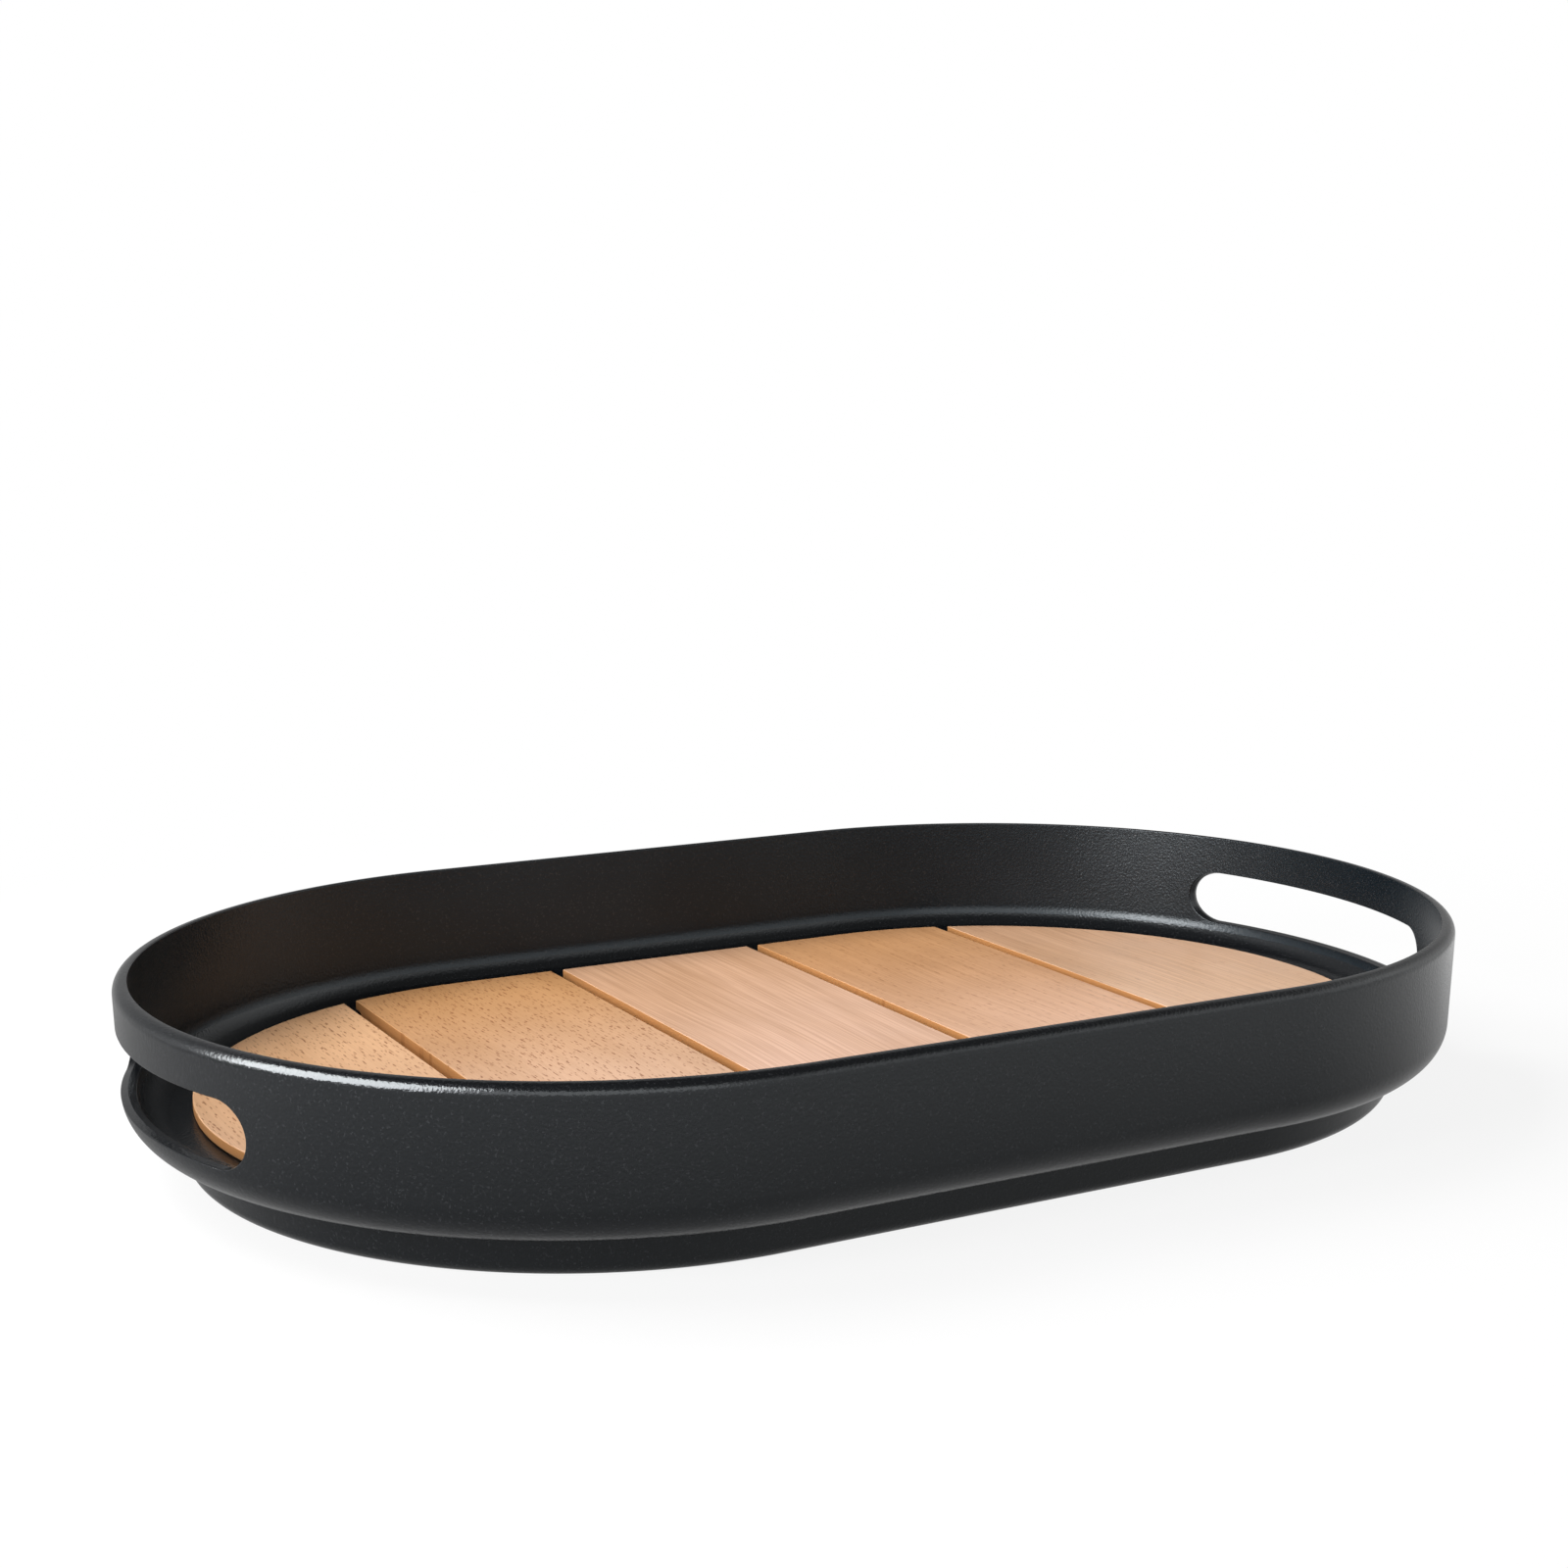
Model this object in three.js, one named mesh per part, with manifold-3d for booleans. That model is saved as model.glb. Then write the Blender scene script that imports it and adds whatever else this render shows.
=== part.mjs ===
// Oval serving tray: a black moulded shell with a hand slot in each round end,
// and a lift-out board of beech slats that rests on a ledge inside it.
// Millimetres, +Z up. The origin is the middle of the footprint, on the table.
// +X runs along the tray, from one hand slot to the other.

import * as THREE from "three";
import { mergeVertices } from "three/addons/utils/BufferGeometryUtils.js";
import Module from "manifold-3d";

// Shell: overall form
const TRAY_LENGTH = 410;
const TRAY_WIDTH = 264;
const TRAY_HEIGHT = 53;
const WALL_THICKNESS = 4.2;
const WALL_DRAFT = 1.1; // how far the wall leans in, from the rim down to the corner
const RIM_EDGE_RADIUS = 1.6;
const OUTER_CORNER_RADIUS = 11.5;
const INNER_CORNER_RADIUS = 7.5;

// Shell: the ledge that carries the board, and the foot below it
const LEDGE_THICKNESS = 3;
const LEDGE_EDGE_RADIUS = 1;
const FOOT_INSET = 16.4; // from the rim's outline in to the top of the foot
const FOOT_DRAFT = 1.4;
const FOOT_THICKNESS = 6.9;
const FOOT_EDGE_RADIUS = 3.5;
const FOOT_CORNER_RADIUS = 1;
const FOOT_RING_WIDTH = 9; // the flat ring that the tray stands on
const FOOT_RING_DEPTH = 0.8;
const FLOOR_THICKNESS = 2.6;
const FLOOR_CORNER_RADIUS = 2.5;

// Shell: hand slots
const SLOT_LENGTH = 116;
const SLOT_HEIGHT = 18;
const SLOT_SILL = 0.1; // above the top of the inner corner
const SLOT_OVERRUN = 10; // the cut runs this far past each end of the tray

// Board: slats
const SLAT_COUNT = 5;
const SLAT_GAP = 4.3;
const END_SLAT_EXTRA = 1.65; // the end slats reach this much further along the tray than the others
const SLAT_THICKNESS = 9;
const SLAT_EDGE_RADIUS = 0.8;
const LIP_THICKNESS = 3;
const LIP_BEARING = 3.3; // how far the lip reaches over the ledge
const LIP_COVE_RADIUS = 2.5;

// Board: battens and screws under the slats
const BATTEN_WIDTH = 20;
const BATTEN_THICKNESS = 4.5;
const BATTEN_SPACING = 100; // between the two middle lines
const BATTEN_END_MARGIN = 8; // from the batten's corner to the edge of the slats' underside
const BATTEN_END_RADIUS = 5;
const SCREW_DIAMETER = 3;
const SCREW_HEAD_DIAMETER = 6;
const SCREW_BITE = 5.5; // how far the screw goes into the slat
const SCREW_TIP_LENGTH = 2;
const SCREW_TIP_DIAMETER = 0.6;
const SCREW_SINK = 0.3; // head below the batten's underside

// Clearances
const BOARD_SEAT_GAP = 0.3; // lip above ledge
const BOARD_SIDE_GAP = 0.8; // slat body inside the recess, at its narrow end
const BATTEN_FLOOR_GAP = 1.2;
const SCREW_HOLE_GAP = 0.3;

// Facets
const OVAL_STEPS = 28; // along each half circle of the outline
const LARGE_ARC_DIVISIONS = 3; // an arc gets twice as many steps
const SMALL_ARC_DIVISIONS = 2;
const SLOT_ARC_DIVISIONS = 8;
const SCREW_SIDES = 16;
const MERGE_TOLERANCE = 1e-4;
const CUT_OVERRUN = 1; // a cutting form runs this far past the face that it cuts

// Finishes
const BLACK_MELAMINE = { color: 0x232427, roughness: 0.42, metalness: 0 };
const BEECH = { color: 0xd9b188, roughness: 0.6, metalness: 0 };
const BARE_BEECH = { color: 0xc99f74, roughness: 0.7, metalness: 0 };
const ZINC_STEEL = { color: 0xb4b6ba, roughness: 0.35, metalness: 1 };

// Outline of the tray, as the half length of its straight sides and the radii of its rings
const halfStraight = (TRAY_LENGTH - TRAY_WIDTH) / 2;
const rimRadius = TRAY_WIDTH / 2;
const wallFootRadius = rimRadius - WALL_DRAFT;
const innerWallFootRadius = wallFootRadius - WALL_THICKNESS;
const footTopRadius = rimRadius - FOOT_INSET;
const footRadius = footTopRadius - FOOT_DRAFT;
const recessTopRadius = footTopRadius - FOOT_THICKNESS;
const recessRadius = recessTopRadius - FOOT_DRAFT;
const slatBodyRadius = recessRadius - BOARD_SIDE_GAP;
const lipRadius = recessTopRadius + LIP_BEARING;

// Heights, stacked up from the table: the ledge lies where the board needs it
const floorTop = FOOT_RING_DEPTH + FLOOR_THICKNESS;
const slatBottom = floorTop + BATTEN_FLOOR_GAP + BATTEN_THICKNESS;
const ledgeTop = slatBottom + SLAT_THICKNESS - LIP_THICKNESS - BOARD_SEAT_GAP;
const ledgeBottom = ledgeTop - LEDGE_THICKNESS;
const slotBottom = ledgeTop + INNER_CORNER_RADIUS + SLOT_SILL;

// Board sizes
const boardHalfLength = halfStraight + lipRadius;
const slatPitch = (2 * (boardHalfLength - END_SLAT_EXTRA) + SLAT_GAP) / SLAT_COUNT;
const slatWidth = slatPitch - SLAT_GAP;
const battenOuterEdge = (BATTEN_SPACING + BATTEN_WIDTH) / 2;
const battenHalfLength =
  halfStraight + Math.sqrt((slatBodyRadius - BATTEN_END_MARGIN) ** 2 - battenOuterEdge ** 2);
const screwLength = BATTEN_THICKNESS + SCREW_BITE;

const wasm = await Module();
wasm.setup();

// A solid for joining and cutting, from a closed geometry
function solidOf(geometry) {
  const bare = geometry.clone();
  bare.deleteAttribute("normal");
  bare.deleteAttribute("uv");
  const merged = mergeVertices(bare, MERGE_TOLERANCE);
  const corners = merged.index.array;
  const triVerts = [];
  for (let i = 0; i < corners.length; i += 3) {
    const [a, b, c] = corners.slice(i, i + 3);
    if (a !== b && b !== c && c !== a) triVerts.push(a, b, c);
  }
  const vertProperties = Float32Array.from(merged.attributes.position.array);
  const mesh = new wasm.Mesh({ numProp: 3, vertProperties, triVerts: Uint32Array.from(triVerts) });
  return new wasm.Manifold(mesh);
}

// The geometry of a solid that was joined or cut
function geometryOf(solid) {
  const { vertProperties, triVerts } = solid.getMesh();
  const geometry = new THREE.BufferGeometry();
  geometry.setAttribute("position", new THREE.BufferAttribute(Float32Array.from(vertProperties), 3));
  geometry.setIndex(new THREE.BufferAttribute(Uint32Array.from(triVerts), 1));
  geometry.computeVertexNormals();
  return geometry;
}

function namedMesh(name, geometry, finish) {
  const mesh = new THREE.Mesh(geometry, new THREE.MeshStandardMaterial(finish));
  mesh.name = name;
  return mesh;
}

// One ring of the tray's oval: two half circles joined by straight sides, anticlockwise from above
function ovalRing(radius, z) {
  const ring = [];
  for (const end of [1, -1]) {
    for (let step = 0; step <= OVAL_STEPS; step += 1) {
      const turn = Math.PI * (step / OVAL_STEPS - 1 / 2);
      const x = halfStraight + radius * Math.cos(turn);
      const y = radius * Math.sin(turn);
      ring.push(end * x, end * y, z);
    }
  }
  return ring;
}

// A closed form of oval rings. Its profile gives radius and height, from the cap that
// faces down, round the outside, to the cap that faces up.
function ovalForm(profile) {
  const position = profile.flatMap(({ x: radius, y: height }) => ovalRing(radius, height));
  const count = 2 * (OVAL_STEPS + 1);
  const lastRing = (profile.length - 1) * count;
  const index = [];
  for (let ring = 0; ring < lastRing; ring += count) {
    for (let point = 0; point < count; point += 1) {
      const next = (point + 1) % count;
      index.push(ring + point, ring + next, ring + count + next);
      index.push(ring + point, ring + count + next, ring + count + point);
    }
  }
  for (let point = 1; point < count - 1; point += 1) {
    index.push(0, point + 1, point);
    index.push(lastRing, lastRing + point, lastRing + point + 1);
  }
  const geometry = new THREE.BufferGeometry();
  geometry.setAttribute("position", new THREE.Float32BufferAttribute(position, 3));
  geometry.setIndex(index);
  return geometry;
}

// Points of a quarter circle, from one angle to the next in quarter turns
function quarter(x, y, radius, from, to, divisions) {
  const right = Math.PI / 2;
  const arc = new THREE.EllipseCurve(x, y, radius, radius, from * right, to * right, to < from);
  return arc.getPoints(2 * divisions);
}

// The shell without its slots: foot ring, foot, outer corner, wall and rim, then down the
// inside to the ledge and into the recess under the board
function shellForm() {
  const foot = new THREE.Vector2(footRadius, FOOT_EDGE_RADIUS);
  const ringInner = footRadius - FOOT_RING_WIDTH;
  const rimMiddle = TRAY_HEIGHT - RIM_EDGE_RADIUS;
  const outerCorner = wallFootRadius - OUTER_CORNER_RADIUS;
  const innerCorner = innerWallFootRadius - INNER_CORNER_RADIUS;
  const ledgeEdge = recessTopRadius + LEDGE_EDGE_RADIUS;
  const rimInner = rimRadius - WALL_THICKNESS + RIM_EDGE_RADIUS;
  const profile = [
    new THREE.Vector2(ringInner - FOOT_RING_DEPTH, FOOT_RING_DEPTH),
    new THREE.Vector2(ringInner, 0),
    ...quarter(foot.x - FOOT_EDGE_RADIUS, foot.y, FOOT_EDGE_RADIUS, -1, 0, SMALL_ARC_DIVISIONS),
    ...quarter(
      footTopRadius + FOOT_CORNER_RADIUS,
      ledgeBottom - FOOT_CORNER_RADIUS,
      FOOT_CORNER_RADIUS,
      2,
      1,
      SMALL_ARC_DIVISIONS,
    ),
    ...quarter(
      outerCorner,
      ledgeBottom + OUTER_CORNER_RADIUS,
      OUTER_CORNER_RADIUS,
      -1,
      0,
      LARGE_ARC_DIVISIONS,
    ),
    ...quarter(rimRadius - RIM_EDGE_RADIUS, rimMiddle, RIM_EDGE_RADIUS, 0, 1, SMALL_ARC_DIVISIONS),
    ...quarter(rimInner, rimMiddle, RIM_EDGE_RADIUS, 1, 2, SMALL_ARC_DIVISIONS),
    ...quarter(
      innerCorner,
      ledgeTop + INNER_CORNER_RADIUS,
      INNER_CORNER_RADIUS,
      0,
      -1,
      LARGE_ARC_DIVISIONS,
    ),
    ...quarter(ledgeEdge, ledgeTop - LEDGE_EDGE_RADIUS, LEDGE_EDGE_RADIUS, 1, 2, SMALL_ARC_DIVISIONS),
    ...quarter(
      recessRadius - FLOOR_CORNER_RADIUS,
      floorTop + FLOOR_CORNER_RADIUS,
      FLOOR_CORNER_RADIUS,
      0,
      -1,
      SMALL_ARC_DIVISIONS,
    ),
  ];
  return ovalForm(profile);
}

// A bar with the round-ended section of a hand slot, long enough to cut both ends at once
function slotBar() {
  const radius = SLOT_HEIGHT / 2;
  const reach = SLOT_LENGTH / 2 - radius;
  const right = Math.PI / 2;
  const section = new THREE.Shape();
  section.absarc(reach, 0, radius, -right, right, false);
  section.absarc(-reach, 0, radius, right, 3 * right, false);
  const depth = TRAY_LENGTH + 2 * SLOT_OVERRUN;
  const bar = new THREE.ExtrudeGeometry(section, {
    depth,
    bevelEnabled: false,
    curveSegments: SLOT_ARC_DIVISIONS,
  });
  const alongX = new THREE.Matrix4().makeBasis(
    new THREE.Vector3(0, 1, 0),
    new THREE.Vector3(0, 0, 1),
    new THREE.Vector3(1, 0, 0),
  );
  bar.applyMatrix4(alongX);
  bar.translate(-depth / 2, 0, slotBottom + radius);
  return bar;
}

function trayShell() {
  const shell = solidOf(shellForm()).subtract(solidOf(slotBar()));
  return namedMesh("tray_shell", geometryOf(shell), BLACK_MELAMINE);
}

// The whole board as one oval, with a coved lip round it. Height 0 is the slats' underside.
function boardForm() {
  const lipBottom = SLAT_THICKNESS - LIP_THICKNESS;
  const topEdge = SLAT_THICKNESS - SLAT_EDGE_RADIUS;
  const profile = [
    new THREE.Vector2(slatBodyRadius, 0),
    ...quarter(
      slatBodyRadius + LIP_COVE_RADIUS,
      lipBottom - LIP_COVE_RADIUS,
      LIP_COVE_RADIUS,
      2,
      1,
      LARGE_ARC_DIVISIONS,
    ),
    new THREE.Vector2(lipRadius, lipBottom),
    ...quarter(lipRadius - SLAT_EDGE_RADIUS, topEdge, SLAT_EDGE_RADIUS, 0, 1, SMALL_ARC_DIVISIONS),
  ];
  return ovalForm(profile);
}

// A straight bar as wide as one slat, with rounded long edges on top, that the board is cut by
function slatBar(left, right) {
  const top = SLAT_THICKNESS;
  const edge = SLAT_EDGE_RADIUS;
  const turn = Math.PI / 2;
  const section = new THREE.Shape();
  section.moveTo(left, -CUT_OVERRUN);
  section.lineTo(right, -CUT_OVERRUN);
  section.absarc(right - edge, top - edge, edge, 0, turn, false);
  section.absarc(left + edge, top - edge, edge, turn, 2 * turn, false);
  const depth = 2 * (lipRadius + CUT_OVERRUN);
  const bar = new THREE.ExtrudeGeometry(section, {
    depth,
    bevelEnabled: false,
    curveSegments: SMALL_ARC_DIVISIONS,
  });
  bar.rotateX(turn);
  bar.translate(0, depth / 2, 0);
  return bar;
}

// A countersunk wood screw that points up, from height 0 at the batten's underside.
// With a gap it is the hole that the screw sits in.
function screwForm(gap) {
  const headRadius = SCREW_HEAD_DIAMETER / 2 + gap;
  const shankRadius = SCREW_DIAMETER / 2 + gap;
  const headBottom = gap > 0 ? -CUT_OVERRUN : SCREW_SINK;
  const coneTop = SCREW_SINK + headRadius - shankRadius;
  const tip = screwLength + gap;
  const profile = [
    new THREE.Vector2(0, headBottom),
    new THREE.Vector2(headRadius, headBottom),
    new THREE.Vector2(headRadius, SCREW_SINK + gap),
    new THREE.Vector2(shankRadius, coneTop + gap),
    new THREE.Vector2(shankRadius, tip - SCREW_TIP_LENGTH),
    new THREE.Vector2(SCREW_TIP_DIAMETER / 2 + gap, tip),
    new THREE.Vector2(0, tip),
  ];
  const screw = new THREE.LatheGeometry(profile, SCREW_SIDES);
  screw.rotateX(Math.PI / 2);
  return screw;
}

// Left and right edge of a slat, counted from the -X end. The end slats run out to the oval.
function slatEdges(number) {
  const middle = (number - (SLAT_COUNT - 1) / 2) * slatPitch;
  const outside = boardHalfLength + CUT_OVERRUN;
  const left = number > 0 ? middle - slatWidth / 2 : -outside;
  const right = number < SLAT_COUNT - 1 ? middle + slatWidth / 2 : outside;
  return { left, right };
}

// Where the screw into a slat stands along the tray: the middle of the batten under that slat
function screwPlace(number) {
  const { left, right } = slatEdges(number);
  return (Math.max(left, -battenHalfLength) + Math.min(right, battenHalfLength)) / 2;
}

const slatNumbers = Array.from({ length: SLAT_COUNT }, (_, number) => number);
const battenPlaces = [
  { side: "front", y: -BATTEN_SPACING / 2 },
  { side: "rear", y: BATTEN_SPACING / 2 },
];

// Holes for the screws of one slat, or of one batten
function screwHole(number, y) {
  const hole = screwForm(SCREW_HOLE_GAP);
  hole.translate(screwPlace(number), y, -BATTEN_THICKNESS);
  return solidOf(hole);
}

function slat(number, board) {
  const { left, right } = slatEdges(number);
  let solid = board.intersect(solidOf(slatBar(left, right)));
  for (const { y } of battenPlaces) {
    solid = solid.subtract(screwHole(number, y));
  }
  return namedMesh(`slat_${number + 1}`, geometryOf(solid), BEECH);
}

// A flat batten with rounded corners, along the tray under all the slats
function batten(side, y) {
  const half = battenHalfLength;
  const reach = BATTEN_WIDTH / 2;
  const corner = BATTEN_END_RADIUS;
  const turn = Math.PI / 2;
  const outline = new THREE.Shape();
  outline.absarc(half - corner, corner - reach, corner, -turn, 0, false);
  outline.absarc(half - corner, reach - corner, corner, 0, turn, false);
  outline.absarc(corner - half, reach - corner, corner, turn, 2 * turn, false);
  outline.absarc(corner - half, corner - reach, corner, 2 * turn, 3 * turn, false);
  const blank = new THREE.ExtrudeGeometry(outline, {
    depth: BATTEN_THICKNESS,
    bevelEnabled: false,
    curveSegments: LARGE_ARC_DIVISIONS,
  });
  blank.translate(0, y, -BATTEN_THICKNESS);
  let solid = solidOf(blank);
  for (const number of slatNumbers) {
    solid = solid.subtract(screwHole(number, y));
  }
  return namedMesh(`batten_${side}`, geometryOf(solid), BARE_BEECH);
}

function screw(side, y, number) {
  const mesh = namedMesh(`screw_${side}_${number + 1}`, screwForm(0), ZINC_STEEL);
  mesh.position.set(screwPlace(number), y, -BATTEN_THICKNESS);
  return mesh;
}

// The lift-out board, placed by the height of its slats' underside
function slatBoard() {
  const board = new THREE.Group();
  const oval = solidOf(boardForm());
  for (const number of slatNumbers) {
    board.add(slat(number, oval));
  }
  for (const { side, y } of battenPlaces) {
    board.add(batten(side, y));
    for (const number of slatNumbers) {
      board.add(screw(side, y, number));
    }
  }
  board.position.z = slatBottom;
  return board;
}

const tray = new THREE.Group();
tray.add(trayShell());
tray.add(slatBoard());

export default tray;
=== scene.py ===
"""An oval serving tray: a black moulded shell and a lift-out board of five beech slats.

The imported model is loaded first, as a fixed frame. Each mesh made here stands for one of its nodes,
rides on that node's body and keeps its place in its mesh. Sizes are millimetres until they reach a
Blender call, and heights count from the table.
"""

import logging
import math
from contextlib import contextmanager
from dataclasses import dataclass
from enum import Enum
from typing import Any, Callable, Iterator

import bmesh
import bpy
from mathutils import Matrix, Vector


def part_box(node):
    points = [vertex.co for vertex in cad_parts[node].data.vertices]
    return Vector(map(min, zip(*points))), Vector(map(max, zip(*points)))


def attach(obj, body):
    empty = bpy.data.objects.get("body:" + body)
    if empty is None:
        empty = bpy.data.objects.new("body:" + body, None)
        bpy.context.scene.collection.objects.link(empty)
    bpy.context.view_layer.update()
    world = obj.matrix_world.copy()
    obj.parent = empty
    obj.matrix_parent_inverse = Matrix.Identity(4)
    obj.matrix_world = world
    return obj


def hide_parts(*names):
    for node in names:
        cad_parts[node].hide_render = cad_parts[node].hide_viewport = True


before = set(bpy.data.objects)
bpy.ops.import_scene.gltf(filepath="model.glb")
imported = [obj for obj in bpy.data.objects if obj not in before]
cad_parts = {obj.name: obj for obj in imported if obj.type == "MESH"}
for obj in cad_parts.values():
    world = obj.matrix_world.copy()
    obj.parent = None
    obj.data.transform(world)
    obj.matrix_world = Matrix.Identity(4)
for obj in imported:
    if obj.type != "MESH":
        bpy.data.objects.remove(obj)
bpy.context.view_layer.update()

# A millimetre in metres, and the distance in millimetres at which two points are one.
MM = 0.001
TOUCH = 0.01
# The bevel profile that makes a round edge.
ROUND = 0.5
# A face looks a certain way where its normal has at least this much of it.
FACING = 0.9
# A face is upright where its normal points up or down by less than this.
UPRIGHT = 0.3
# The width of the camera's frame that its focal length goes with.
FRAME_WIDTH = 36.0
# The marks on faces that the finishes read.
SAWN = "sawn_with_gap_shade"
INSIDE = "inside"
Triple = tuple[float, float, float]
log = logging.getLogger("serving_tray")


class Element(Enum):
    """What a selection in edit mode is made of."""

    VERTEX = "VERT"
    EDGE = "EDGE"
    FACE = "FACE"


class Blend(Enum):
    """How two colours are put together."""

    MIX = "MIX"
    MULTIPLY = "MULTIPLY"


class Duty(Enum):
    """What a lamp is hung for."""

    LIGHT = "light"
    SHEEN = "sheen"


class Axis(Enum):
    """The way that the grain of a piece runs, by its turn from Y."""

    ACROSS = 0.0
    ALONG = math.pi / 2


class Run(Enum):
    """The two battens under the board, by the side of the tray they run along."""

    FRONT = "front"
    REAR = "rear"


@dataclass(frozen=True)
class Corner:
    """One corner of a section that is carried round an axis.

    Attributes:
        radius: distance from the axis.
        height: height above the table, or distance along the axis.
        rounding: radius that the corner is rounded to, where 0 leaves it sharp.
        segments: number of flats in the rounding.
    """

    radius: float
    height: float
    rounding: float = 0.0
    segments: int = 6


def deselect() -> None:
    """Leave no object selected, the frame's nodes included."""
    bpy.ops.object.select_all(action="DESELECT")


def make_active(piece: bpy.types.Object) -> None:
    """Make one piece the only selected object."""
    deselect()
    piece.select_set(True)
    bpy.context.view_layer.objects.active = piece


@contextmanager
def edit_mode(piece: bpy.types.Object) -> Iterator[None]:
    """Hold a piece open in edit mode.

    Args:
        piece: the mesh object to open.
    """
    make_active(piece)
    bpy.ops.object.mode_set(mode="EDIT")
    try:
        yield
    finally:
        bpy.ops.object.mode_set(mode="OBJECT")


def pick(element: Element, wanted: Callable[[Any], bool]) -> None:
    """Select the parts of the open mesh that pass a test.

    Args:
        element: whether vertices, edges or faces are selected.
        wanted: the test, given a vertex, edge or face.
    """
    bpy.ops.mesh.select_mode(type=element.value)
    bpy.ops.mesh.select_all(action="DESELECT")
    data = bpy.context.object.data
    mesh = bmesh.from_edit_mesh(data)
    parts = {Element.VERTEX: mesh.verts, Element.EDGE: mesh.edges, Element.FACE: mesh.faces}[element]
    chosen = [part for part in parts if wanted(part)]
    for part in chosen:
        part.select_set(True)
    mesh.select_flush_mode()
    bmesh.update_edit_mesh(data)


def round_off(reach: float, segments: int, element: Element = Element.EDGE) -> None:
    """Round the selected edges or vertices of the open mesh.

    Args:
        reach: how far from the edge or vertex the rounding starts, in millimetres.
        segments: number of flats in the rounding.
        element: whether edges or vertices are rounded.
    """
    affect = "VERTICES" if element is Element.VERTEX else "EDGES"
    bpy.ops.mesh.bevel(offset=reach * MM, segments=segments, profile=ROUND, affect=affect,
                       clamp_overlap=False)


def merge_points() -> None:
    """Select all of the open mesh and merge its doubled points."""
    bpy.ops.mesh.select_all(action="SELECT")
    bpy.ops.mesh.remove_doubles(threshold=TOUCH / 2 * MM)


def near(a: float, b: float) -> bool:
    """Say whether two lengths in millimetres are the same."""
    return abs(a - b) < TOUCH


def node_box(node: str) -> tuple[Vector, Vector]:
    """Give the lowest and the highest corner of a node of the frame, in millimetres."""
    low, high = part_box(node)
    return Vector(low) / MM, Vector(high) / MM


def start_piece(name: str) -> bpy.types.Object:
    """Name the primitive that was just added and its mesh.

    Args:
        name: the name of the piece.

    Returns:
        The new object.
    """
    piece = bpy.context.object
    piece.name = name
    piece.data.name = name
    return piece


def draw_section(name: str, section: list[Corner], place: Callable[[Corner], Vector]) -> bpy.types.Object:
    """Draw a section as a line of edges, with its corners rounded.

    Args:
        name: name of the piece that it starts.
        section: the corners in order.
        place: gives a corner's place in millimetres.

    Returns:
        The new object, which is left open in edit mode.
    """
    deselect()
    bpy.ops.mesh.primitive_plane_add(size=MM)
    piece = start_piece(name)
    bpy.ops.object.mode_set(mode="EDIT")
    bpy.ops.mesh.select_mode(type=Element.VERTEX.value)
    bpy.ops.mesh.select_all(action="SELECT")
    bpy.ops.mesh.merge(type="CENTER")
    points = [place(corner) for corner in section]
    bpy.ops.transform.translate(value=points[0] * MM)
    for last, point in zip(points, points[1:]):
        bpy.ops.mesh.extrude_vertices_move(TRANSFORM_OT_translate={"value": (point - last) * MM})
    for corner, last, point, following in zip(section[1:], points, points[1:], points[2:]):
        if corner.rounding > 0:
            half_angle = (last - point).angle(following - point) / 2
            pick(Element.VERTEX, lambda vertex: (vertex.co / MM - point).length < TOUCH)
            round_off(corner.rounding / math.tan(half_angle), corner.segments, Element.VERTEX)
    bpy.ops.mesh.select_all(action="SELECT")
    return piece


def close_up(piece: bpy.types.Object) -> None:
    """Merge a mesh's doubled points and turn its faces outwards.

    Args:
        piece: the mesh object, in object mode.
    """
    with edit_mode(piece):
        merge_points()
        bpy.ops.mesh.normals_make_consistent(inside=False)


def cut_away(piece: bpy.types.Object, cutter: bpy.types.Object) -> None:
    """Cut one solid out of another and remove the cutter.

    Args:
        piece: the solid that is cut.
        cutter: the solid that cuts it.
    """
    make_active(piece)
    bpy.ops.object.modifier_add(type="BOOLEAN")
    cut = piece.modifiers[-1]
    cut.operation = "DIFFERENCE"
    cut.solver = "EXACT"
    cut.object = cutter
    bpy.ops.object.modifier_apply(modifier=cut.name)
    bpy.data.objects.remove(cutter)


def smooth(piece: bpy.types.Object, angle: float = 38.0) -> None:
    """Shade a piece smooth, with its sharp edges kept and its broad faces flat.

    Args:
        piece: the finished mesh object.
        angle: the sharpest bend that is shaded smooth, in degrees.
    """
    make_active(piece)
    bpy.ops.object.shade_smooth_by_angle(angle=math.radians(angle))
    bpy.ops.object.modifier_add(type="WEIGHTED_NORMAL")
    weighted = piece.modifiers[-1]
    weighted.keep_sharp = True
    bpy.ops.object.modifier_apply(modifier=weighted.name)


def copy_piece(piece: bpy.types.Object, name: str) -> bpy.types.Object:
    """Copy a piece together with its mesh.

    Args:
        piece: the piece to copy.
        name: the copy's name.

    Returns:
        The copy.
    """
    make_active(piece)
    bpy.ops.object.duplicate(linked=False)
    return start_piece(name)


def mark_faces(piece: bpy.types.Object, mark: str, wanted: Callable[[Any], bool]) -> None:
    """Mark the faces of a finished piece that pass a test.

    Args:
        piece: the finished piece.
        mark: the name of the mark.
        wanted: the test, given a face.
    """
    marks = piece.data.attributes.new(mark, "FLOAT", "FACE")
    for face, value in zip(piece.data.polygons, marks.data):
        value.value = float(wanted(face))


def hand_over(piece: bpy.types.Object, node: str, body: str) -> None:
    """Put a finished piece in the place of its node.

    Args:
        piece: the finished piece.
        node: the frame's node that it stands for.
        body: the body that carries it.
    """
    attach(piece, body)
    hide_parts(node)
    log.info("%s: %d faces, stands for %s on %s", piece.name, len(piece.data.polygons), node, body)


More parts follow.
